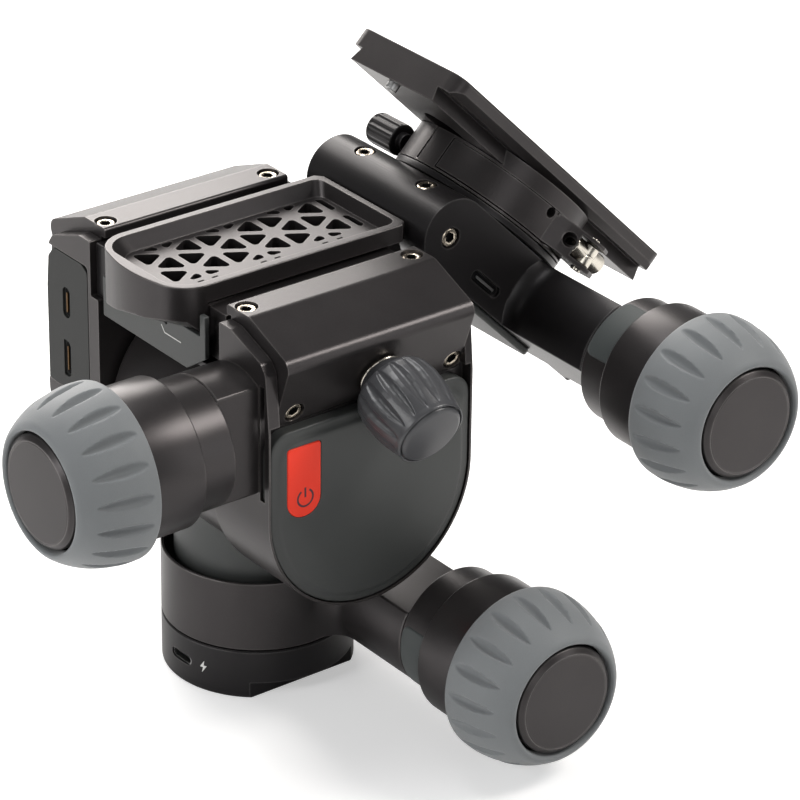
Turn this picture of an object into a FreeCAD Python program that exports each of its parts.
import FreeCAD, Part
import Sketcher
import math
import os

# Motorised pan / tilt head with a third axis module leaning back at 45 degrees: a star tracker
# mount.  +Z is the pan axis and the origin is the centre of the tripod face.  +X is the tilt axis
# direction and the right side, -Y is the front.  Millimetres.
App = FreeCAD
Vec = App.Vector
doc = App.newDocument("star_tracker_mount")

# ------------------------------------------------------------------ driving dimensions
DIMS = [
    # base
    ("base_radius", 28.17), ("base_top", 15.3), ("base_flat_half", 21.5), ("base_flat_rise", 5.0),
    ("bushing_radius", 7.0), ("thread_radius", 4.0), ("thread_length", 9.5),
    # spindles, bearings and the neck
    ("spindle_radius", 8.0), ("running_gap", 0.05), ("recess_radius", 27.2),
    ("stem_radius", 24.3), ("tilt_height", 77.0), ("drum_left", 26.5), ("drum_right", 27.4),
    ("drum_radius", 33.0), ("drum_wall", 3.0),
    # drive module: its two faces from worm level, its arm and where the modules sit
    ("module_free", 9.84), ("module_face", 12.1), ("worm_offset", 24.2), ("arm_radius", 18.9),
    ("arm_side", 9.9), ("pan_knob_level", 27.9), ("pan_reach", 112.3), ("tilt_reach", 99.7),
    ("astro_reach", 112.3), ("tilt_worm_x", 40.0), ("astro_m", -29.2), ("astro_n", 128.6),
    # knob and collar at the end of each arm
    ("collar_start", 51.0), ("collar_step", 39.5), ("collar_radius", 21.6), ("knob_back", 23.0),
    ("knob_radius", 25.05), ("disc_radius", 16.35),
    # yoke, side covers, power button and caps
    ("yoke_radius", 35.0), ("yoke_inner", 27.9), ("cover_face", 55.2), ("cover_inner", 50.6),
    ("cover_radius", 34.2), ("button_width", 11.5), ("button_high", 98.5), ("button_y", -23.65),
    ("cap_top", 133.3), ("cap_inner", 29.6), ("cap_flat", 40.0), ("cap_ridge_x", 58.5),
    ("cap_ridge_z", 123.0), ("cap_low_x", 51.2), ("cap_low_z", 104.0), ("cap_front", 31.0),
    ("cap_back", 32.5), ("jaw_knob_radius", 12.5),
    # tray and astro housing
    ("tray_top", 135.6), ("tray_half", 21.1), ("tray_front", 43.3), ("tray_back", 37.6),
    ("tray_height", 14.5), ("housing_half", 28.0), ("nose_m", -29.0), ("nose_radius", 10.97),
    # camera clamp and camera plate
    ("disc_low", 10.4), ("clamp_low", 12.9), ("clamp_seat", 24.4), ("clamp_top", 28.6),
    ("clamp_radius", 28.2), ("plate_base", 24.6), ("plate_waist", 29.0), ("plate_top", 34.7),
    ("plate_near", -57.7), ("plate_far", 51.4), ("dovetail_half", 19.0), ("waist_half", 17.6),
    ("pad_half", 24.0),
    # worm gearing and screws
    ("wheel_teeth", 36.0), ("tooth_module", 1.0), ("worm_pitch_radius", 6.2),
    ("wheel_width", 4.0), ("screw_head", 2.75), ("screw_shank", 1.5),
]
sheet = doc.addObject("Spreadsheet::Sheet", "dims")
VALUE = {}
for row, (alias, number) in enumerate(DIMS, start=1):
    sheet.set("A%d" % row, alias)
    sheet.set("B%d" % row, repr(number))
    sheet.setAlias("B%d" % row, alias)
    VALUE[alias] = number
doc.recompute()


class Size:
    """A number together with the sheet expression it comes from."""

    def __init__(self, value, formula):
        self.value = value
        self.formula = formula

    @staticmethod
    def of(other):
        return other if isinstance(other, Size) else Size(float(other), repr(float(other)))

    def joined(self, sign, other, value):
        return Size(value, "(%s %s %s)" % (self.formula, sign, other.formula))

    def __add__(self, other):
        other = Size.of(other)
        return self.joined("+", other, self.value + other.value)

    def __radd__(self, other):
        return Size.of(other) + self

    def __sub__(self, other):
        other = Size.of(other)
        return self.joined("-", other, self.value - other.value)

    def __rsub__(self, other):
        return Size.of(other) - self

    def __mul__(self, other):
        other = Size.of(other)
        return self.joined("*", other, self.value * other.value)

    def __rmul__(self, other):
        return Size.of(other) * self

    def __truediv__(self, other):
        other = Size.of(other)
        return self.joined("/", other, self.value / other.value)

    def __neg__(self):
        return Size(-self.value, "(-%s)" % self.formula)


def dim(alias):
    return Size(VALUE[alias], "dims." + alias)


def num(size):
    return size.value if isinstance(size, Size) else float(size)


def bind(obj, prop, size):
    """Set a property, and tie it to the sheet when the size comes from there."""
    setattr(obj, prop, num(size))
    if isinstance(size, Size):
        obj.setExpression(prop, size.formula)


# ------------------------------------------------------------------ frames and solids
Z = Vec(0, 0, 1)
ALONG_X = (1, 0, 0)
NODES = []               # (label, object) of every piece that is written
name_count = 0


class Frame:
    """Everything made inside the with block is placed in this local frame."""

    active = App.Placement()

    def __init__(self, placement):
        self.placement = placement

    def __enter__(self):
        self.outer = Frame.active
        Frame.active = self.placement

    def __exit__(self, *error):
        Frame.active = self.outer


def frame_of(x_axis, y_axis, base):
    """Placement whose X and Y axes point the given ways."""
    xa, ya = Vec(*x_axis), Vec(*y_axis)
    za = xa.cross(ya)
    return App.Placement(App.Matrix(xa.x, ya.x, za.x, base[0],
                                    xa.y, ya.y, za.y, base[1],
                                    xa.z, ya.z, za.z, base[2], 0, 0, 0, 1))


def add(kind, prefix):
    global name_count
    name_count += 1
    return doc.addObject(kind, "%s%d" % (prefix, name_count))


def place(obj, pos=(0, 0, 0), rotation=None):
    local = App.Placement(Vec(*[num(p) for p in pos]), rotation or App.Rotation())
    obj.Placement = Frame.active.multiply(local)
    if Frame.active.isIdentity():
        for axis, p in zip("xyz", pos):
            if isinstance(p, Size):
                obj.setExpression("Placement.Base." + axis, p.formula)
    return obj


def box(dx, dy, dz, pos):
    obj = add("Part::Box", "Box")
    bind(obj, "Length", dx)
    bind(obj, "Width", dy)
    bind(obj, "Height", dz)
    return place(obj, pos)


def cyl(radius, height, pos, direction=(0, 0, 1)):
    obj = add("Part::Cylinder", "Cyl")
    bind(obj, "Radius", radius)
    bind(obj, "Height", height)
    return place(obj, pos, App.Rotation(Z, Vec(*direction)))


def fuse(*parts):
    if len(parts) == 1:
        return parts[0]
    obj = add("Part::MultiFuse", "Fuse")
    obj.Shapes = list(parts)
    return obj


def cut(base, *tools):
    obj = add("Part::Cut", "Cut")
    obj.Base = base
    obj.Tool = fuse(*tools)
    return obj


def common(base, tool):
    obj = add("Part::Common", "Common")
    obj.Base = base
    obj.Tool = tool
    return obj


def solid(shape, pos=(0, 0, 0), rotation=None):
    obj = add("Part::Feature", "Solid")
    obj.Shape = shape
    return place(obj, pos, rotation)


def prism(corners, along):
    """Straight extrusion of a closed polygon."""
    return Part.Face(Part.makePolygon(corners + corners[:1])).extrude(Vec(*along))


def node(label, obj):
    obj.Label = label
    NODES.append((label, obj))


def body_node(body):
    node(body.Label, body)


def compound(label, parts):
    """Several separate solids of one kind that share a node."""
    obj = add("Part::Compound", "Group")
    obj.Links = parts
    node(label, obj)


# ------------------------------------------------------------------ PartDesign helpers
# YZ-plane sketches read as (x = world Y, y = world Z); XZ-plane sketches as (x = world X,
# y = world Z), with the pad of an XZ sketch running towards -Y.
def origin_feature(body, role):
    for feature in body.Origin.OriginFeatures:
        if feature.Role == role:
            return feature


def new_body(label):
    body = add("PartDesign::Body", "Body")
    body.Placement = Frame.active
    body.Label = label
    return body


def new_feature(body, kind):
    global name_count
    name_count += 1
    return body.newObject(kind, "%s%d" % (kind.split("::")[1], name_count))


def new_sketch(body, plane, offset=0.0):
    sketch = new_feature(body, "Sketcher::SketchObject")
    sketch.AttachmentSupport = (origin_feature(body, plane), [""])
    sketch.MapMode = "FlatFace"
    sketch.AttachmentOffset = App.Placement(Vec(0, 0, num(offset)), App.Rotation())
    if isinstance(offset, Size):
        sketch.setExpression("AttachmentOffset.Base.z", offset.formula)
    return sketch


def constrain(sketch, *args):
    """Dimension whose last argument is the size, tied to the sheet where it comes from there."""
    size = args[-1]
    index = sketch.addConstraint(Sketcher.Constraint(*args[:-1], num(size)))
    if isinstance(size, Size):
        sketch.setExpression("Constraints[%d]" % index, size.formula)


def outline(sketch, points):
    """Closed polygon with every corner dimensioned from the sketch origin."""
    count = len(points)
    flat = [Vec(num(x), num(y), 0) for x, y in points]
    for i in range(count):
        sketch.addGeometry(Part.LineSegment(flat[i], flat[(i + 1) % count]), False)
    for i in range(count):
        sketch.addConstraint(Sketcher.Constraint("Coincident", i, 2, (i + 1) % count, 1))
    for i, (x, y) in enumerate(points):
        constrain(sketch, "DistanceX", -1, 1, i, 1, x)
        constrain(sketch, "DistanceY", -1, 1, i, 1, y)


def circle(sketch, x, y, radius):
    ring = sketch.addGeometry(Part.Circle(Vec(num(x), num(y), 0), Z, num(radius)), False)
    constrain(sketch, "DistanceX", -1, 1, ring, 3, x)
    constrain(sketch, "DistanceY", -1, 1, ring, 3, y)
    constrain(sketch, "Radius", ring, radius)


def d_outline(sketch, radius, top):
    """D shape: straight sides from top down to the tilt axis, then a half circle about it."""
    centre = dim("tilt_height")
    r, t, c = num(radius), num(top), num(centre)
    left = sketch.addGeometry(Part.LineSegment(Vec(-r, c, 0), Vec(-r, t, 0)), False)
    upper = sketch.addGeometry(Part.LineSegment(Vec(-r, t, 0), Vec(r, t, 0)), False)
    right = sketch.addGeometry(Part.LineSegment(Vec(r, t, 0), Vec(r, c, 0)), False)
    ring = Part.Circle(Vec(0, c, 0), Z, r)
    arc = sketch.addGeometry(Part.ArcOfCircle(ring, math.pi, 2 * math.pi), False)
    for args in (("Coincident", left, 2, upper, 1), ("Coincident", upper, 2, right, 1),
                 ("Coincident", right, 2, arc, 2), ("Coincident", arc, 1, left, 1),
                 ("Vertical", left), ("Horizontal", upper), ("Vertical", right)):
        sketch.addConstraint(Sketcher.Constraint(*args))
    constrain(sketch, "DistanceX", -1, 1, arc, 3, 0.0)
    constrain(sketch, "DistanceY", -1, 1, arc, 3, centre)
    constrain(sketch, "DistanceY", -1, 1, upper, 1, top)
    constrain(sketch, "DistanceX", -1, 1, right, 1, radius)


def pad(body, sketch, length):
    feature = new_feature(body, "PartDesign::Pad")
    feature.Profile = sketch
    bind(feature, "Length", length)
    return feature


def pocket(body, sketch, length, reverse=False):
    feature = new_feature(body, "PartDesign::Pocket")
    feature.Profile = sketch
    bind(feature, "Length", length)
    feature.Reversed = reverse
    return feature


def turn(body, kind, sketch, axis):
    """Full Revolution or Groove about a sketch axis."""
    feature = new_feature(body, "PartDesign::" + kind)
    feature.Profile = sketch
    feature.ReferenceAxis = (sketch, [axis])
    feature.Angle = 360.0
    return feature


def pad_outline(body, plane, offset, points, length):
    sketch = new_sketch(body, plane, offset)
    outline(sketch, points)
    pad(body, sketch, length)


def pocket_outline(body, plane, offset, points, length, reverse=False):
    sketch = new_sketch(body, plane, offset)
    outline(sketch, points)
    pocket(body, sketch, length, reverse)


def turned(label, about, points):
    """Turned body: points are (radius, z) about Z, or (x, radius) about X."""
    body = new_body(label)
    sketch = new_sketch(body, "XZ_Plane" if about == "Z" else "XY_Plane")
    outline(sketch, points)
    turn(body, "Revolution", sketch, "V_Axis" if about == "Z" else "H_Axis")
    return body


def repeat_about_x(body, feature, count):
    doc.recompute()
    pattern = new_feature(body, "PartDesign::PolarPattern")
    pattern.Originals = [feature]
    pattern.Axis = (origin_feature(body, "X_Axis"), [""])
    pattern.Angle = 360.0
    pattern.Occurrences = count
    body.Tip = pattern


def flute_knob(body, start, length, centre, radius, count):
    """Ring of round flutes along X."""
    sketch = new_sketch(body, "YZ_Plane", start)
    circle(sketch, centre, 0.0, radius)
    repeat_about_x(body, pocket(body, sketch, length, reverse=True), count)


def rectangle(x0, x1, y0, y1):
    return [(x0, y0), (x1, y0), (x1, y1), (x0, y1)]


def mirrored(sign, points):
    return [(sign * x, y) for x, y in points]


def symmetric(points):
    """The right half of an outline, closed by its mirror image."""
    return points + [(-x, y) for x, y in reversed(points)]


def arc_points(radius, centre, half, steps):
    """Points on a circle from centre - half to centre + half, in radians."""
    angles = [centre - half + 2 * half * i / steps for i in range(steps + 1)]
    return [(radius * math.cos(a), radius * math.sin(a)) for a in angles]


# ------------------------------------------------------------------ screws and bearings
HEAD_HEIGHT = 1.9
HEAD_CLEARANCE = 0.12
HEAD_ACCESS = 6.0        # open space cut above a screw seat
SHANK_CLEARANCE = 0.05
HOLE_EXTRA = 0.3         # hole past the screw end
HOLE_OVERLAP = 0.5       # shank hole running into the head hole
BEARING_WIDE = 14.0      # outer radii of the two bearing sizes
BEARING_NARROW = 12.0


def socket_screw(pos, direction, length, head=dim("screw_head"), head_height=HEAD_HEIGHT,
                 shank=dim("screw_shank")):
    """Screw with a round socket in its head; pos is the outer face of the head."""
    out = Vec(*direction).normalize()
    top = Vec(*pos)
    solid_head = cyl(head, head_height, top - out * head_height, direction)
    stem = cyl(shank, length, top - out * (head_height + length), direction)
    socket = cyl(num(head) * 0.48, head_height * 0.75, top - out * head_height * 0.7, direction)
    return cut(fuse(solid_head, stem), socket)


def screw_hole(pos, direction, length):
    out = Vec(*direction).normalize()
    top = Vec(*pos)
    seat = cyl(dim("screw_head") + HEAD_CLEARANCE, HEAD_HEIGHT + HEAD_ACCESS,
               top - out * HEAD_HEIGHT, direction)
    stem = cyl(dim("screw_shank") + SHANK_CLEARANCE, length + HOLE_EXTRA + HOLE_OVERLAP,
               top - out * (HEAD_HEIGHT + length + HOLE_EXTRA), direction)
    return fuse(seat, stem)


def bearing(outer, width, pos, direction=(0, 0, 1)):
    """Sealed bearing on a spindle: one ring with a shield groove in each face."""
    inner = dim("spindle_radius") + dim("running_gap")
    along = Vec(*direction).normalize()
    start = Vec(*pos)
    ring = cut(cyl(outer, width, pos, direction),
               cyl(inner, width + 2, start - along, direction))
    middle = (num(inner) + outer) / 2.0
    grooves = []
    for offset in (-0.4, width - 0.3):
        at = start + along * offset
        grooves.append(cut(cyl(middle + 1.1, 0.7, at, direction),
                           cyl(middle - 1.1, 0.7, at, direction)))
    return cut(ring, *grooves)


# ------------------------------------------------------------------ worm and wheel, flat-faced
WORM_CORE = 5.0          # corner radius of the polygonal core
WORM_SIDES = 18
WORM_CORE_HALF = 9.0
THREAD_HALF = 6.3


def wheel_shape():
    """Toothed ring about Z with a bore around the spindle."""
    teeth = int(VALUE["wheel_teeth"])
    module = VALUE["tooth_module"]
    width = VALUE["wheel_width"]
    pitch = teeth * module / 2.0
    tip = (pitch + 0.85 * module, 0.28)      # (radius, half tooth thickness)
    root = (pitch - 1.1 * module, 0.95)
    ring = []
    for i in range(teeth):
        middle = 2 * math.pi * i / teeth
        for (r, half), side in ((root, -1), (tip, -1), (tip, 1), (root, 1)):
            a = middle + side * half / r
            ring.append(Vec(r * math.cos(a), r * math.sin(a), -width / 2))
    sides = 36
    bore = VALUE["spindle_radius"] / math.cos(math.pi / sides)
    hole = []
    for i in range(sides):
        a = 2 * math.pi * i / sides
        hole.append(Vec(bore * math.cos(a), bore * math.sin(a), -width / 2))
    return prism(ring, (0, 0, width)).cut(prism(hole, (0, 0, width)))


def thread_shape():
    """Helical thread as triangles, its root sunk into the core; axis along X."""
    module = VALUE["tooth_module"]
    lead = math.pi * module
    tip = VALUE["worm_pitch_radius"] + 0.8 * module
    root = WORM_CORE - 0.35
    # (radius, x from the middle of the thread)
    profile = ((root, -0.86), (tip, -0.3), (tip, 0.3), (root, 0.86))
    turns = THREAD_HALF / lead
    steps = int(round(2 * turns * WORM_SIDES))
    sections = []
    for i in range(steps + 1):
        # At x = 0 the crest points to +Y, so a space faces the wheel on the -Y side.
        a = -math.pi * 2 * turns + 2 * math.pi * i / WORM_SIDES
        x = lead * a / (2 * math.pi)
        sections.append([Vec(x + dx, r * math.cos(a), r * math.sin(a)) for r, dx in profile])
    triangles = []
    for near, far in zip(sections, sections[1:]):
        for j in range(4):
            k = (j + 1) % 4
            triangles.append((near[j], near[k], far[k]))
            triangles.append((near[j], far[k], far[j]))
    for end in (sections[0], sections[-1]):
        triangles.append((end[0], end[1], end[2]))
        triangles.append((end[0], end[2], end[3]))
    faces = [Part.Face(Part.makePolygon([a, b, c, a])) for a, b, c in triangles]
    thread = Part.makeSolid(Part.makeShell(faces))
    if thread.Volume < 0:
        thread.reverse()
    return thread


def worm_shape():
    corners = []
    for i in range(WORM_SIDES):
        a = 2 * math.pi * (i + 0.5) / WORM_SIDES
        corners.append(Vec(-WORM_CORE_HALF, WORM_CORE * math.cos(a), WORM_CORE * math.sin(a)))
    return prism(corners, (2 * WORM_CORE_HALF, 0, 0)).fuse(thread_shape())


WORM = worm_shape()
assert WORM.isValid() and len(WORM.Solids) == 1, "worm"
WHEEL = wheel_shape()


def wheel(label):
    # A quarter turn puts a tooth on the side of the worm.
    node(label, solid(WHEEL, rotation=App.Rotation(Z, 90.0)))


# ------------------------------------------------------------------ drive module (three times)
# Local frame: origin on the rotation axis at worm level, X along the arm, Y outward to the worm,
# Z the rotation axis.
WORM_Y = VALUE["worm_offset"]
SHAFT_RADIUS = 2.0
NECK_END = 14.9          # x where the worm's neck steps down to the shaft
MOTOR_RADIUS = 8.2
MOTOR_START = 18.0
MOTOR_SETBACK = 53.0     # motor end, back from the knob face
SPIGOT_RADIUS = 14.4
SPIGOT_SETBACK = 23.4
KNOB_CORE = 14.0         # radius of the knob hub inside the grip
COLLAR_BORE = 14.45
WIDE_SEAT = 6.3          # lengths of the bearing seats
NARROW_SEAT = 3.1
# middle of the index patch from the arm side facing the rotation axis, in degrees
PATCH_ANGLE = {"pan": 8.0, "tilt": -4.0, "astro": -8.0}

HALF_ROOT = math.sqrt(0.5)
# pan: arm to the right, worm behind the axis
PAN = App.Placement(Vec(0, 0, VALUE["pan_knob_level"]), App.Rotation())
# tilt: arm to the front, worm above the axis, local Z pointing to -X
TILT = frame_of((0, -1, 0), (0, 0, 1), (VALUE["tilt_worm_x"], 0, VALUE["tilt_height"]))
# astro: arm to the right, axis leaning back; m runs along local Y and n along local Z
ASTRO = frame_of(ALONG_X, (0, HALF_ROOT, -HALF_ROOT),
                 (0, (VALUE["astro_n"] + VALUE["astro_m"]) * HALF_ROOT,
                  (VALUE["astro_n"] - VALUE["astro_m"]) * HALF_ROOT))


def on_worm(radius, length, start):
    """Cylinder on the worm axis."""
    return cyl(radius, length, (start, WORM_Y, 0), ALONG_X)


def worm_and_motor(prefix):
    reach = dim(prefix + "_reach")
    journal = on_worm(2.5, 5.0, -13.9)
    neck = on_worm(3.0, 6.0, 8.95)
    shaft = on_worm(SHAFT_RADIUS, reach - 12.0 - NECK_END, NECK_END)
    node(prefix + "_worm_shaft", fuse(solid(WORM, pos=(0, WORM_Y, 0)), journal, neck, shaft))
    # hollow motor ring around the shaft
    length = reach - MOTOR_SETBACK - MOTOR_START
    node(prefix + "_gear_motor", cut(on_worm(MOTOR_RADIUS, length, MOTOR_START),
                                     on_worm(SHAFT_RADIUS + 0.06, length + 2, MOTOR_START - 1)))


def knob_hub(prefix):
    """Bevelled disc, a boss inside the grip and a sleeve over the shaft."""
    disc = dim("disc_radius")
    body_node(turned(prefix + "_knob_hub", "X", [
        (-25.0, SHAFT_RADIUS), (-12.0, SHAFT_RADIUS), (-12.0, 0.0), (0.0, 0.0),
        (0.0, disc - 1.7), (-0.7, disc - 0.35), (-1.1, disc), (-4.75, disc),
        (-4.75, KNOB_CORE), (-21.0, KNOB_CORE), (-21.0, 8.0), (-25.0, 8.0)]))


def knob_grip(prefix):
    """Barrel grip, widest near its back edge, with lens-shaped flutes."""
    back = -dim("knob_back")
    rim = dim("knob_radius")
    bore = dim("disc_radius") + 0.15
    body = turned(prefix + "_knob_grip", "X", [
        (back, KNOB_CORE), (back, rim - 0.9), (-22.2, rim - 0.1), (-20.5, rim + 0.05),
        (-17.0, rim - 0.1), (-13.0, rim - 0.65), (-9.0, rim - 1.7), (-6.0, rim - 2.85),
        (-4.0, rim - 3.9), (-2.2, rim - 5.2), (-1.1, rim - 6.4), (-0.7, rim - 7.3),
        (-1.0, rim - 8.0), (-2.2, bore), (-4.75, bore), (-4.75, KNOB_CORE)])
    # The flute is turned about its own chord, a construction line over the first edge.
    flute = [(-19.5, rim + 0.9), (-4.6, rim - 1.6), (-6.5, rim - 2.55), (-9.0, rim - 2.45),
             (-12.0, rim - 1.75), (-15.5, rim - 0.9)]
    sketch = new_sketch(body, "XY_Plane")
    outline(sketch, flute)
    ends = [Vec(x, num(r), 0) for x, r in flute[:2]]
    chord = sketch.addGeometry(Part.LineSegment(*ends), True)
    sketch.addConstraint(Sketcher.Constraint("Coincident", chord, 1, 0, 1))
    sketch.addConstraint(Sketcher.Constraint("Coincident", chord, 2, 0, 2))
    repeat_about_x(body, turn(body, "Groove", sketch, "Axis0"), 18)
    body_node(body)


def collar_and_patch(prefix):
    """Stepped collar behind the knob, and the index patch in a shallow window of its small step."""
    start = -dim("collar_start")
    step = -dim("collar_step")
    small = dim("arm_radius")
    large = dim("collar_radius")
    middle = math.pi + math.radians(PATCH_ANGLE[prefix])
    window_half = math.radians(33.0)
    patch_half = math.radians(32.7)
    inner = arc_points(VALUE["arm_radius"] - 1.2, middle, window_half, 8)[::-1]

    body = turned(prefix + "_clutch_collar", "X", [
        (start + 0.15, COLLAR_BORE), (start + 0.15, small - 0.4), (start + 0.55, small),
        (step, small), (step, large - 0.6), (step + 0.6, large), (-24.0, large),
        (-23.15, large - 0.8), (-23.15, COLLAR_BORE)])
    window = arc_points(VALUE["arm_radius"] + 1.5, middle, window_half, 8) + inner
    pocket_outline(body, "YZ_Plane", start + 0.1, window, step - start - 0.1, reverse=True)
    body_node(body)

    body = new_body(prefix + "_index_patch")
    patch = arc_points(VALUE["arm_radius"] + 0.02, middle, patch_half, 24) + inner
    pad_outline(body, "YZ_Plane", start + 0.2, patch, step - start - 0.35)
    body_node(body)


def arm_contents(prefix, module):
    """Worm, motor, knob and collar of one module."""
    with Frame(module):
        worm_and_motor(prefix)
    # The knob frame sits on the knob face, X outward along the arm.
    knob_face = App.Placement(Vec(VALUE[prefix + "_reach"], WORM_Y, 0), App.Rotation())
    with Frame(module.multiply(knob_face)):
        knob_hub(prefix)
        knob_grip(prefix)
        collar_and_patch(prefix)


def module_height():
    return dim("module_free") + dim("module_face")


def arm_tube(prefix, start, low):
    """Round arm up to the collar, flattened below, above and on the far side."""
    length = dim(prefix + "_reach") - dim("collar_start") - start
    slab = box(length + 2, dim("arm_radius") + dim("arm_side"), module_height(),
               (start - 1, WORM_Y - VALUE["arm_radius"], low))
    return common(on_worm(dim("arm_radius"), length, start), slab)


def arm_spigot(prefix):
    start = dim("collar_start")
    return on_worm(SPIGOT_RADIUS, start - SPIGOT_SETBACK, dim(prefix + "_reach") - start)


def arm_cavities(prefix, wide_below=False):
    """Worm, motor and shaft bores, wheel chamber and the two bearing seats."""
    reach = dim(prefix + "_reach")
    return [on_worm(7.5, 26.0, -10.0),
            on_worm(2.55, 5.0, -14.2),
            on_worm(MOTOR_RADIUS, reach - MOTOR_SETBACK - 15.0, 15.0),
            on_worm(3.2, 30.0, reach - 54.0),
            on_worm(8.05, 4.6, reach - 27.0),
            cyl(19.9, 8.4, (0, 0, -4.2)),
            cyl(BEARING_WIDE, WIDE_SEAT, (0, 0, -10.5 if wide_below else 4.1)),
            cyl(BEARING_NARROW, NARROW_SEAT, (0, 0, 4.1 if wide_below else -7.2))]


def upper_module_bearings():
    """Bearing pair of the tilt and astro modules, the wide one on the local +Z side."""
    return [bearing(BEARING_WIDE, 4.6, (0, 0, 5.2)), bearing(BEARING_NARROW, 2.6, (0, 0, -7.2))]


# ------------------------------------------------------------------ base
PLATE_SCREW_PITCH = 17.4     # radius of the ring of tripod plate screws
PLATE_SCREWS = [(PLATE_SCREW_PITCH * math.cos(math.radians(a)),
                 PLATE_SCREW_PITCH * math.sin(math.radians(a))) for a in (45, 135, 225, 315)]
PLATE_EDGE = 19.4
PLATE_BACK = 2.8
FLOOR_TOP = 12.3             # underside of the base top wall
PORT_LEFT, PORT_WIDTH = -3.67, 9.3
PORT_LOW, PORT_HEIGHT = 6.0, 3.6


def base_housing():
    rim = dim("base_radius")
    top = dim("base_top")
    bore = dim("spindle_radius")
    body = turned("base_shell_blank", "Z", [
        (PLATE_EDGE, 0.0), (rim - 0.6, 0.0), (rim, 0.6), (rim, top - 0.4), (rim - 0.4, top),
        (bore, top), (bore, FLOOR_TOP), (25.0, FLOOR_TOP), (25.0, 5.5), (15.5, 5.5),
        (15.5, PLATE_BACK), (PLATE_EDGE, PLATE_BACK)])
    # flats on the right and left
    flat = dim("base_flat_half")
    for x0, x1 in ((flat, flat + 10.0), (-flat - 10.0, -flat)):
        pocket_outline(body, "XZ_Plane", -31.0, rectangle(x0, x1, -1.0, dim("base_flat_rise")),
                       62.0, reverse=True)
    port = box(PORT_WIDTH, 8.0, PORT_HEIGHT, (PORT_LEFT, -29.0, PORT_LOW))
    holes = [cyl(1.0, 3.2, (x, y, 1.9)) for x, y in PLATE_SCREWS]
    node("base_housing", cut(body, port, *holes))


def tripod_plate():
    bushing = dim("bushing_radius")
    body = turned("tripod_plate_blank", "Z", [
        (bushing, 0.3), (PLATE_EDGE - 0.5, 0.3), (PLATE_EDGE, 0.8), (PLATE_EDGE, PLATE_BACK),
        (11.0, PLATE_BACK), (11.0, 9.0), (bushing, 9.0)])
    holes = [fuse(cyl(1.9, 1.35, (x, y, 0.25)), cyl(1.0, 3.2, (x, y, 0.5)))
             for x, y in PLATE_SCREWS]
    node("tripod_plate", cut(body, *holes))
    compound("plate_screws", [
        socket_screw((x, y, 0.3), (0, 0, -1), length=3.3, head=1.9, head_height=1.3, shank=1.0)
        for x, y in PLATE_SCREWS])


def tripod_bushing():
    bore = dim("thread_radius")
    outer = dim("bushing_radius")
    end = dim("thread_length")
    body_node(turned("tripod_bushing", "Z", [
        (bore, 0.0), (outer - 0.3, 0.0), (outer, 0.3), (outer, 9.0), (outer + 1.2, 9.0),
        (outer + 1.2, end), (bore, end)]))


def charge_port():
    body = new_body("charge_port")
    block = rectangle(PORT_LEFT, PORT_LEFT + PORT_WIDTH, PORT_LOW, PORT_LOW + PORT_HEIGHT)
    pad_outline(body, "XZ_Plane", 22.4, block, 5.3)
    socket = [(-2.4, 6.6), (4.36, 6.6), (5.1, 7.3), (5.1, 8.3),       # (x, z)
              (4.36, 9.0), (-2.4, 9.0), (-3.14, 8.3), (-3.14, 7.3)]
    pocket_outline(body, "XZ_Plane", 27.8, socket, 4.4)
    body_node(body)


def pan_spindle():
    bore, top = 4.6, 34.8
    outer = dim("spindle_radius")
    body_node(turned("pan_spindle", "Z", [
        (bore, 9.8), (12.0, 9.8), (12.0, FLOOR_TOP), (outer, FLOOR_TOP), (outer, top),
        (bore, top)]))


base_housing()
tripod_plate()
tripod_bushing()
charge_port()
pan_spindle()


# ------------------------------------------------------------------ pan module and neck
def pan_module():
    face = VALUE["module_face"]
    with Frame(PAN):
        wheel("pan_wheel")
        hub = cyl(dim("base_radius"), module_height(), (0, 0, -face))
        cavities = arm_cavities("pan", wide_below=True)
        cavities += [cyl(9.0, 2.0, (0, 0, -12.3)), cyl(5.0, 8.0, (0, 0, 6.0)),
                     cyl(dim("recess_radius"), 2.0, (0, 0, 8.4))]
        housing = fuse(hub, arm_tube("pan", -18.0, -face), arm_spigot("pan"))
        node("pan_housing", cut(housing, *cavities))
        compound("pan_bearings", [bearing(BEARING_WIDE, 5.0, (0, 0, -10.5)),
                                  bearing(BEARING_NARROW, 2.4, (0, 0, 4.6))])
    arm_contents("pan", PAN)


H = dim("tilt_height")
NECK_FLOOR = 39.5


def neck_shell():
    """Upright stem under a drum on the tilt axis, hollow throughout."""
    left = dim("drum_left")
    drum = dim("drum_radius")
    bore = dim("spindle_radius")
    outer = fuse(cyl(dim("stem_radius"), 40.7, (0, 0, 36.3)),
                 cyl(drum, left + dim("drum_right"), (-left, 0, H), ALONG_X))
    node("neck_shell", cut(outer,
                           cyl(21.0, 34.0, (0, 0, NECK_FLOOR)),
                           cyl(drum - dim("drum_wall"), 47.5, (-23.5, 0, H), ALONG_X),
                           cyl(5.0, 5.0, (0, 0, 35.5)),
                           cyl(bore, 6.0, (22.5, 0, H), ALONG_X),
                           cyl(bore, 6.0, (-28.0, 0, H), ALONG_X)))


def battery_pack():
    """Block standing on the neck floor, with a narrower top."""
    node("battery_pack", fuse(box(34.0, 20.0, 44.0, (-17.0, -10.0, NECK_FLOOR)),
                              box(18.0, 12.0, 2.0, (-9.0, -6.0, NECK_FLOOR + 44.0))))


def drum_pivot(label, flange_start, flange_end, end):
    """Hollow pivot on the tilt axis, with a flange inside the drum."""
    bore, flange = 4.0, 12.0
    outer = dim("spindle_radius")
    body = turned(label, "X", [
        (flange_start, bore), (flange_start, flange), (flange_end, flange), (flange_end, outer),
        (end, outer), (end, bore)])
    body_node(place(body, (0, 0, H)))


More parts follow.
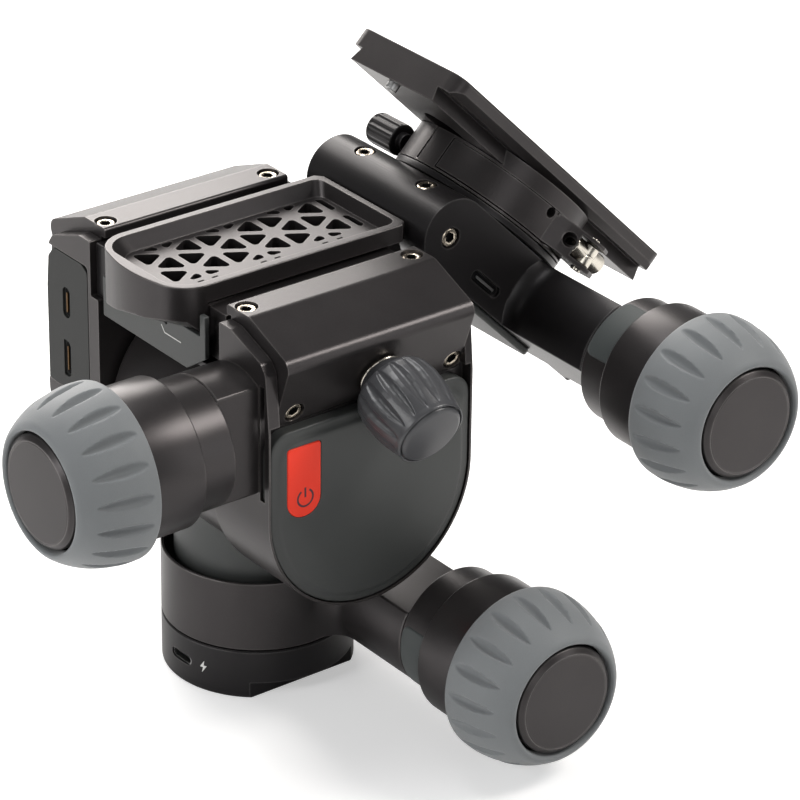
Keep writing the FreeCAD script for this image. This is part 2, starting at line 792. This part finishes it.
pan_module()
neck_shell()
battery_pack()
drum_pivot("tilt_spindle", 21.8, 24.0, 47.2)
drum_pivot("left_pivot", -21.3, -23.5, -40.0)

# ------------------------------------------------------------------ yoke
YOKE_FACE = 54.6             # outer face of the yoke arms, in x
BLOCK_INNER = 31.6           # inner face of the block under each cap
BLOCK_LOW = 90.0
LEDGE_TOP = 112.8            # step that the bridge rests on
BLOCK_BACK = 32.6
BLOCK_DEPTH = 63.8
BLOCK_TOP = [(50.0, 121.0), (44.0, 126.0), (BLOCK_INNER, 126.0)]     # (x, z)
CAP_SCREW_LENGTH = 8.0
CAP_SIDE_SCREW_Z = 107.6
JAW_BORE = 3.0
JAW_THREAD = 31.0            # depth of the jaw screw's inner end below the cap face

# The jaw screw stands square on the sloping outer face of the right cap.
CAP_SLOPE = ((VALUE["cap_ridge_x"] - VALUE["cap_low_x"])
             / (VALUE["cap_ridge_z"] - VALUE["cap_low_z"]))
SLOPE_ANGLE = math.atan(CAP_SLOPE)
JAW_AXIS = Vec(math.cos(SLOPE_ANGLE), 0, -math.sin(SLOPE_ANGLE))


def cap_face_x(z):
    return VALUE["cap_low_x"] + (z - VALUE["cap_low_z"]) * CAP_SLOPE


JAW_ROOT = Vec(cap_face_x(112.4), 2.4, 112.4)


def on_jaw(radius, length, start):
    """Cylinder on the jaw screw axis; start is measured outward from the cap face."""
    return cyl(radius, length, JAW_ROOT + JAW_AXIS * start, JAW_AXIS)


def cap_screw_seats(sign):
    """(position, direction) of the two top and two side screws of a cap."""
    seats = [((sign * 34.2, y, VALUE["cap_top"] - 0.2), (0, 0, 1)) for y in (-27.7, 28.7)]
    x = cap_face_x(CAP_SIDE_SCREW_Z) - 0.15
    for y in (-24.9, 29.5):
        seats.append(((sign * x, y, CAP_SIDE_SCREW_Z + 0.1),
                      (sign * JAW_AXIS.x, 0, JAW_AXIS.z)))
    return seats


def cap_screw_holes(sign):
    return [screw_hole(pos, out, CAP_SCREW_LENGTH) for pos, out in cap_screw_seats(sign)]


def yoke_blank(sign, side):
    """D section about the tilt axis, block under the cap, front and rear cheeks, cover recess."""
    inner = dim("yoke_inner")
    body = new_body("yoke_blank_" + side)
    sketch = new_sketch(body, "YZ_Plane", inner if sign > 0 else -YOKE_FACE)
    d_outline(sketch, dim("yoke_radius"), 103.9)
    pad(body, sketch, YOKE_FACE - inner)
    block = [(BLOCK_INNER, BLOCK_LOW), (50.0, BLOCK_LOW)] + BLOCK_TOP
    ledge = rectangle(inner, BLOCK_INNER, BLOCK_LOW, LEDGE_TOP)
    for points in (block, ledge):
        pad_outline(body, "XZ_Plane", -BLOCK_BACK, mirrored(sign, points), BLOCK_DEPTH)
    cheek = [(BLOCK_INNER, 129.7), (37.1, 129.7), (50.9, 124.7), (53.0, 121.7),     # (x, z)
             (YOKE_FACE, 104.0), (YOKE_FACE, H), (inner, H), (inner, LEDGE_TOP),
             (BLOCK_INNER, LEDGE_TOP)]
    for back_y, depth in ((-31.2, 3.8), (35.0, 2.4)):
        pad_outline(body, "XZ_Plane", -back_y, mirrored(sign, cheek), depth)
    sketch = new_sketch(body, "YZ_Plane", sign * dim("cover_inner"))
    d_outline(sketch, dim("cover_radius") + dim("running_gap"), 105.0)
    pocket(body, sketch, 6.0, reverse=sign > 0)
    return body


def yoke_right():
    blank = yoke_blank(1, "right")
    with Frame(TILT):
        tube = arm_tube("tilt", 20.0, -VALUE["module_free"])
        cavities = arm_cavities("tilt") + [cyl(9.0, 2.4, (0, 0, 10.0)),
                                           cyl(BEARING_WIDE, 2.0, (0, 0, 8.2))]
        spigot = arm_spigot("tilt")
    cavities += [on_jaw(JAW_BORE, 26.0, -27.0), box(2.3, 6.0, 35.0, (50.4, -36.0, 83.0))]
    node("yoke_right", cut(fuse(blank, tube, spigot), *(cavities + cap_screw_holes(1))))


def yoke_left():
    blank = yoke_blank(-1, "left")
    seats = [cyl(BEARING_WIDE, 6.0, (-34.5, 0, H), ALONG_X),
             cyl(9.0, 2.0, (-29.0, 0, H), ALONG_X),
             cyl(9.0, 7.0, (-41.0, 0, H), ALONG_X),
             # room for the port panel in the front
             box(17.7, 3.0, 42.0, (-50.5, -35.2, 78.0)),
             box(4.0, 0.9, 42.0, (-54.2, -35.2, 78.0)),
             box(3.8, 3.0, 15.5, (-54.2, -35.2, 104.5)),
             # round hollow behind the cover
             cyl(30.0, 10.0, (-50.6, 0, H), ALONG_X)]
    node("yoke_left", cut(blank, *(seats + cap_screw_holes(-1))))


def tilt_bearings():
    with Frame(TILT):
        pair = upper_module_bearings()
    left = bearing(BEARING_WIDE, 5.4, (-34.4, 0, VALUE["tilt_height"]), ALONG_X)
    compound("tilt_bearings", pair + [left])


def bridge():
    """Cross piece between the yoke arms; its left end carries the fixed dovetail flank."""
    half = dim("yoke_inner")
    body = new_body("bridge")
    pad_outline(body, "XZ_Plane", -34.0, [
        (-half, 110.8), (half, 110.8), (half, LEDGE_TOP), (18.9, LEDGE_TOP), (18.9, 121.05),
        (-19.05, 121.05), (-19.05, 123.53), (-17.08, 128.0), (-17.08, 129.0), (-31.5, 129.0),
        (-31.5, LEDGE_TOP), (-half, LEDGE_TOP)], 67.0)
    body_node(body)


def status_panel():
    body = new_body("status_panel")
    pad_outline(body, "XZ_Plane", 33.0, [
        (-26.0, 108.9), (15.1, 108.9), (24.4, 115.0), (24.4, 127.8), (21.6, 127.8),
        (21.6, 121.0), (-26.0, 121.0)], 1.2)
    body_node(body)


def button_outline(margin):
    """Slot shape with a square top and a round lower end, grown by the margin."""
    centre_z = 82.2
    half = dim("button_width") / 2.0 + margin
    y = dim("button_y")
    top = dim("button_high") + margin
    points = [(y - half, top), (y - half, centre_z)]
    for k in range(1, 8):
        a = math.pi + math.pi * k / 8
        points.append((y + half.value * math.cos(a), centre_z + half.value * math.sin(a)))
    return points + [(y + half, centre_z), (y + half, top)]


def side_cover(sign, side):
    inner = dim("cover_inner")
    face = dim("cover_face")
    body = new_body("side_cover_" + side)
    sketch = new_sketch(body, "YZ_Plane", inner if sign > 0 else -face)
    d_outline(sketch, dim("cover_radius"), 103.3)
    plate = pad(body, sketch, face - inner)
    # chamfer the edges that lie in the outer face
    doc.recompute()
    names = []
    for i, edge in enumerate(plate.Shape.Edges, start=1):
        middle = edge.valueAt((edge.FirstParameter + edge.LastParameter) / 2.0)
        if abs(middle.x - sign * face.value) < 1e-3:
            names.append("Edge%d" % i)
    chamfer = new_feature(body, "PartDesign::Chamfer")
    chamfer.Base = (plate, names)
    bind(chamfer, "Size", 1.1)
    if side == "right":
        pocket_outline(body, "YZ_Plane", face, button_outline(0.06), 4.0)
    body_node(body)


def power_button():
    body = new_body("power_button")
    pad_outline(body, "YZ_Plane", 52.2, button_outline(0.0), 3.2)
    body_node(body)


def cap(sign, side):
    """Cap over the top and the sloping outer side of a yoke arm."""
    top = dim("cap_top")
    inner = dim("cap_inner")
    ridge_x = dim("cap_ridge_x")
    ridge_z = dim("cap_ridge_z")
    low_z = dim("cap_low_z")
    body = new_body("cap_%s_blank" % side)
    section = [(inner, top), (dim("cap_flat"), top), (ridge_x - 2.2, ridge_z + 3.4),
               (ridge_x - 0.5, ridge_z + 1.9), (ridge_x, ridge_z), (dim("cap_low_x"), low_z),
               (50.0, low_z)] + BLOCK_TOP + [(BLOCK_INNER, 130.4), (inner, 130.4)]
    pad_outline(body, "XZ_Plane", -dim("cap_back"), mirrored(sign, section),
                dim("cap_front") + dim("cap_back"))
    tools = cap_screw_holes(sign)
    if sign > 0:
        tools.append(on_jaw(JAW_BORE, 32.0, -JAW_THREAD))
    node("cap_" + side, cut(body, *tools))


def port_panel():
    """Panel in the front of the left yoke arm, with two openings one above the other."""
    body = new_body("port_panel_blank")
    pad_outline(body, "XZ_Plane", 32.2, [
        (-54.2, 78.0), (-32.8, 78.0), (-32.8, 120.0), (-53.0, 120.0), (-54.2, 104.0)], 2.9)
    upper = [(-45.6, 101.0), (-42.6, 101.0), (-41.8, 101.8), (-41.8, 109.4),     # (x, z)
             (-42.6, 110.2), (-45.6, 110.2), (-46.4, 109.4), (-46.4, 101.8)]
    lower = rectangle(-46.1, -42.1, 84.0, 92.4)
    for points in (upper, lower):
        pocket_outline(body, "XZ_Plane", 35.2, points, 2.6)
    node("port_panel", cut(body, box(6.0, 4.0, 28.5, (-56.5, -34.3, 76.0))))


SIDES = ((1, "right"), (-1, "left"))
yoke_right()
yoke_left()
tilt_bearings()
bridge()
status_panel()
for sign, side in SIDES:
    side_cover(sign, side)
power_button()
for sign, side in SIDES:
    cap(sign, side)
compound("cap_screws", [socket_screw(pos, out, CAP_SCREW_LENGTH)
                        for sign, side in SIDES for pos, out in cap_screw_seats(sign)])
port_panel()
with Frame(TILT):
    wheel("tilt_wheel")
arm_contents("tilt", TILT)


# ------------------------------------------------------------------ moving jaw
def jaw_bar():
    body = new_body("jaw_bar_blank")
    pad_outline(body, "XZ_Plane", -31.5, [
        (19.06, 114.0), (28.5, 114.0), (28.5, 129.0), (17.08, 129.0), (17.08, 128.0),
        (19.06, 123.53)], 62.0)
    node("jaw_bar", cut(body, on_jaw(JAW_BORE, 8.0, -JAW_THREAD)))


def jaw_screw():
    """Plain rod from the jaw bar into the knob, with a washer on the cap face."""
    tip_gap = 2.8
    rod = on_jaw(JAW_BORE - 0.05, JAW_THREAD + 16.0 - tip_gap, tip_gap - JAW_THREAD)
    node("jaw_screw", fuse(rod, on_jaw(6.5, 1.0, 0.15)))


def jaw_knob():
    rim = dim("jaw_knob_radius")
    bore, bore_end, end = 2.95, 14.85, 24.85
    with Frame(frame_of(JAW_AXIS, (0, 1, 0), JAW_ROOT + JAW_AXIS * 1.15)):
        body = turned("jaw_knob", "X", [
            (0.0, bore), (0.0, rim - 5.1), (2.6, rim - 4.7), (3.4, rim - 3.6), (4.1, rim - 1.9),
            (6.0, rim - 0.7), (8.5, rim - 0.1), (12.0, rim), (16.0, rim - 0.5),
            (20.0, rim - 1.5), (23.0, rim - 2.3), (end, rim - 3.1), (end, 0.0),
            (bore_end, 0.0), (bore_end, bore)])
        flute_knob(body, start=2.6, length=20.0, centre=rim + 1.2, radius=2.2, count=15)
        body_node(body)


jaw_bar()
jaw_screw()
jaw_knob()

# ------------------------------------------------------------------ tray and astro module
TRAY_SCREWS = [(-14.4, 49.0), (14.4, 49.0)]      # (x, y)
SIDE_SCREW_LENGTH = 6.0
HALF_WIDTH = VALUE["housing_half"]
NOSE_Y = VALUE["nose_m"]
SIDE_SCREWS = [((sign * (HALF_WIDTH - 0.1), -29.8, -2.6), (sign, 0, 0)) for sign in (1, -1)]


def tongue():
    """Rear tongue of the tray; the housing has a slot of the same size."""
    return box(38.0, 15.0, 6.0, (-19.0, 37.0, 123.5))


def tray():
    """Dovetailed tray between the jaws, with rounded front corners and a recessed top."""
    top = dim("tray_top")
    low = top - dim("tray_height")
    half = dim("tray_half")
    front = -dim("tray_front")
    back = dim("tray_back")
    body = new_body("tray_blank")
    section = symmetric([
        (18.4, low), (19.0, low + 0.6), (19.0, 123.5), (17.0, 128.0), (17.0, 129.4),
        (half, 130.4), (half, top - 0.6), (half - 0.6, top)])
    pad_outline(body, "XZ_Plane", -back, section, back - front)
    recess = symmetric([(15.0, front + 4.0), (17.5, front + 6.5), (17.5, back - 3.0)])
    pocket_outline(body, "XY_Plane", top, recess, 3.0)
    radius, low_z, height = 7.0, 118.0, 20.0
    side = half.value - radius
    corners = []
    for sign in (1, -1):
        x = side if sign > 0 else -half.value - 1.0
        corners.append(cut(box(8.0, 8.0, height, (x, front.value - 1.0, low_z)),
                           cyl(radius, height, (sign * side, front.value + radius, low_z))))
    holes = [cyl(1.5, 12.0, (x, y, 120.0)) for x, y in TRAY_SCREWS]
    node("tray", cut(fuse(cut(body, *corners), tongue()), *holes))


def astro_housing():
    low = -VALUE["module_face"]
    with Frame(ASTRO):
        slab = box(2 * HALF_WIDTH, WORM_Y - NOSE_Y, module_height(), (-HALF_WIDTH, NOSE_Y, low))
        nose = cyl(dim("nose_radius"), 2 * HALF_WIDTH, (-HALF_WIDTH, NOSE_Y, -1.13), ALONG_X)
        tube = arm_tube("astro", -HALF_WIDTH, low)
        tools = arm_cavities("astro")
        tools.append(cyl(BEARING_WIDE, 2.3, (0, 0, 8.0)))
        # rectangular opening in the right side
        tools.append(box(6.0, 11.8, 3.6, (HALF_WIDTH - 4.5, -13.3, -7.9)))
        spigot = arm_spigot("astro")
    tools.append(tongue())
    for x, y in TRAY_SCREWS:
        tools.append(fuse(cyl(2.87, 12.0, (x, y, 140.3)), cyl(1.55, 14.0, (x, y, 127.0))))
    with Frame(ASTRO):
        tools += [screw_hole(pos, out, SIDE_SCREW_LENGTH) for pos, out in SIDE_SCREWS]
        node("astro_housing", cut(fuse(slab, nose, tube, spigot), *tools))


def astro_fittings():
    """Wheel, bottom cover, bearings and screws."""
    with Frame(ASTRO):
        wheel("astro_wheel")
        node("astro_bottom_cover", box(52.0, 46.0, 2.2, (-26.0, -20.0, -14.3)))
        compound("astro_bearings", upper_module_bearings())
        screws = [socket_screw(pos, out, SIDE_SCREW_LENGTH) for pos, out in SIDE_SCREWS]
    screws += [socket_screw((x, y, 142.2), (0, 0, 1), 15.0) for x, y in TRAY_SCREWS]
    compound("astro_screws", screws)


tray()
astro_housing()
astro_fittings()
arm_contents("astro", ASTRO)

# ------------------------------------------------------------------ rotor and camera clamp
# All of this is in the astro frame.
PIVOT_X, PIVOT_Y = 31.0, 15.7        # cam lever pivot
ROD_X, ROD_Z = 14.5, 18.8            # start and level of the rod through the barrel
ROD_RADIUS = 2.0
RECESS_LOW, RECESS_HEIGHT = 13.5, 10.1
LEVER_LOW, LEVER_HEIGHT = 13.9, 9.5
TOOL_LOW, TOOL_HEIGHT = 13.0, 12.0   # tools that pass right through the lever level
LOCK_Y, LOCK_Z = -17.8, 17.4         # lock knob axis
SEAT_CLEARANCE = 0.06


def sector(angles, height, low):
    """Pie slice about Z, reaching past the clamp; angles in degrees."""
    corners = [Vec(0, 0, 0)]
    for a in angles:
        corners.append(Vec(60 * math.cos(math.radians(a)), 60 * math.sin(math.radians(a)), 0))
    return solid(prism(corners, (0, 0, height)), pos=(0, 0, low))


def lever_sector(low):
    return sector((-81.5, -60, -40, -20, 0, 8), LEVER_HEIGHT, low)


def clamp_rotor():
    bore, low = 3.0, -7.0
    spindle = dim("spindle_radius")
    rim = dim("clamp_radius")
    disc = dim("disc_low")
    top = dim("clamp_low")
    body_node(turned("clamp_rotor", "Z", [
        (bore, low), (spindle, low), (spindle, disc), (rim - 0.3, disc), (rim, disc + 0.3),
        (rim, top), (bore, top)]))


def clamp_body():
    """Round block with a dovetail seat along local Y and a lever recess in its rim."""
    low = dim("clamp_low")
    top = dim("clamp_top")
    body = new_body("clamp_blank")
    sketch = new_sketch(body, "XY_Plane", low)
    circle(sketch, 0.0, 0.0, dim("clamp_radius"))
    pad(body, sketch, top - low)
    waist = dim("waist_half") + SEAT_CLEARANCE
    seat = symmetric([(dim("dovetail_half") + SEAT_CLEARANCE, dim("clamp_seat")),
                      (waist, top + 0.4), (waist, top + 3.0)])
    pocket_outline(body, "XZ_Plane", -30.0, seat, 60.0, reverse=True)
    slice_ = sector((-82.5, -60, -40, -20, 0, 20, 36), RECESS_HEIGHT, RECESS_LOW)
    recess = cut(common(slice_, cyl(34.0, RECESS_HEIGHT, (0, 0, RECESS_LOW))),
                 cyl(24.6, TOOL_HEIGHT, (0, 0, TOOL_LOW)))
    rod_hole = cyl(ROD_RADIUS, 12.0, (ROD_X, PIVOT_Y, ROD_Z), ALONG_X)
    lock_hole = cyl(2.05, 16.0, (-26.0, LOCK_Y, LOCK_Z), ALONG_X)
    lock_seat = box(6.0, 12.0, 12.2, (-30.0, LOCK_Y - 6.0, 11.3))
    notch = box(0.9, 2.0, 13.0, (-4.85, -29.4, RECESS_LOW))
    node("clamp_body", cut(body, recess, rod_hole, lock_hole, lock_seat, notch))


def lever_barrel():
    node("lever_barrel", fuse(cyl(4.0, 6.4, (PIVOT_X, PIVOT_Y, 15.6)),
                              cyl(1.6, 10.2, (PIVOT_X, PIVOT_Y, 13.7)),
                              cyl(ROD_RADIUS, 16.0, (ROD_X, PIVOT_Y, ROD_Z), ALONG_X)))


def cam_lever():
    """Curved band in the clamp's rim recess, ending in a heel around the barrel."""
    band = cut(common(lever_sector(LEVER_LOW), cyl(28.3, LEVER_HEIGHT, (0, 0, LEVER_LOW))),
               cyl(24.9, TOOL_HEIGHT, (0, 0, TOOL_LOW)))
    heel_outline = [(25.1, 3.0), (27.9, -1.0), (31.5, 3.5), (35.3, 12.0), (35.6, 16.4),  # (x, y)
                    (33.9, 20.0), (29.5, 20.1), (27.0, 17.5), (27.2, 13.2), (26.2, 8.0)]
    heel_shape = prism([Vec(x, y, 0) for x, y in heel_outline], (0, 0, LEVER_HEIGHT))
    clamp_room = cut(cyl(28.6, TOOL_HEIGHT, (0, 0, TOOL_LOW)), lever_sector(TOOL_LOW))
    heel = cut(solid(heel_shape, pos=(0, 0, LEVER_LOW)), clamp_room)
    node("cam_lever", cut(fuse(band, heel),
                          cyl(6.5, 6.6, (PIVOT_X, PIVOT_Y, 15.5)),
                          cyl(1.65, 14.0, (PIVOT_X, PIVOT_Y, 12.0)),
                          cyl(1.6, 10.0, (24.0, -2.8, 21.9), ALONG_X)))


def lock_knob():
    """Small fluted knob on the left of the clamp, its own X pointing left."""
    rod_end, rod, rim, end = -10.0, 2.0, 5.0, 12.0
    with Frame(ASTRO.multiply(frame_of((-1, 0, 0), (0, 1, 0), (-24.1, LOCK_Y, LOCK_Z)))):
        body = turned("lock_knob", "X", [
            (rod_end, 0.0), (rod_end, rod), (0.0, rod), (0.0, rim - 0.8), (0.8, rim),
            (end - 0.8, rim), (end, rim - 0.8), (end, 0.0)])
        flute_knob(body, start=0.6, length=12.0, centre=5.9, radius=1.35, count=12)
        body_node(body)


def long_slot(radius, height, low):
    half = 30.0
    return fuse(box(2 * radius, 2 * half, height, (-radius, -half, low)),
                cyl(radius, height, (0, -half, low)), cyl(radius, height, (0, half, low)))


def camera_plate():
    """Dovetail plate with rounded corners and a stepped slot along its middle."""
    base = dim("plate_base")
    waist = dim("plate_waist")
    top = dim("plate_top")
    half = dim("pad_half")
    near = dim("plate_near")
    far = dim("plate_far")
    body = new_body("camera_plate_blank")
    section = symmetric([
        (dim("dovetail_half"), base), (dim("waist_half"), waist), (half - 2.2, waist),
        (half, waist + 2.2), (half, top - 0.6), (half - 0.6, top)])
    pad_outline(body, "XZ_Plane", -far, section, far - near)
    radius, block, low, height = 5.0, 6.0, 23.0, 14.0
    corners = []
    for end, inward in ((near.value, 1), (far.value, -1)):
        y = end + inward * radius
        for sign in (1, -1):
            x = sign * (half.value - radius)
            pos = (x if sign > 0 else x - block, y - block if inward > 0 else y, low)
            corners.append(cut(box(block, block, height, pos), cyl(radius, height, (x, y, low))))
    node("camera_plate", cut(body, *corners, long_slot(3.4, 20.0, 20.0),
                             long_slot(7.0, 4.4, 24.5)))


def camera_screw():
    low = 25.6
    node("camera_screw", cut(fuse(cyl(6.6, 3.0, (0, 0, low)), cyl(3.175, 8.9, (0, 0, low))),
                             box(14.0, 1.2, 1.2, (-7.0, -0.6, low - 0.2))))


with Frame(ASTRO):
    clamp_rotor()
    clamp_body()
    lever_barrel()
    cam_lever()
    lock_knob()
    camera_plate()
    camera_screw()

# ------------------------------------------------------------------ check and write
doc.recompute()
bad = []
for obj in doc.Objects:
    if any(word in ("Invalid", "Error") for word in obj.State):
        bad.append((obj.Name, obj.Label, obj.State))
for label, obj in NODES:
    if obj.Shape.isNull() or not obj.Shape.isValid() or not obj.Shape.Solids:
        bad.append((label, "shape"))
assert not bad, bad
assert len(set(label for label, obj in NODES)) == len(NODES), "two nodes share a label"
os.makedirs("parts", exist_ok=True)
for label, obj in NODES:
    obj.Shape.exportStep("parts/%s.step" % label)
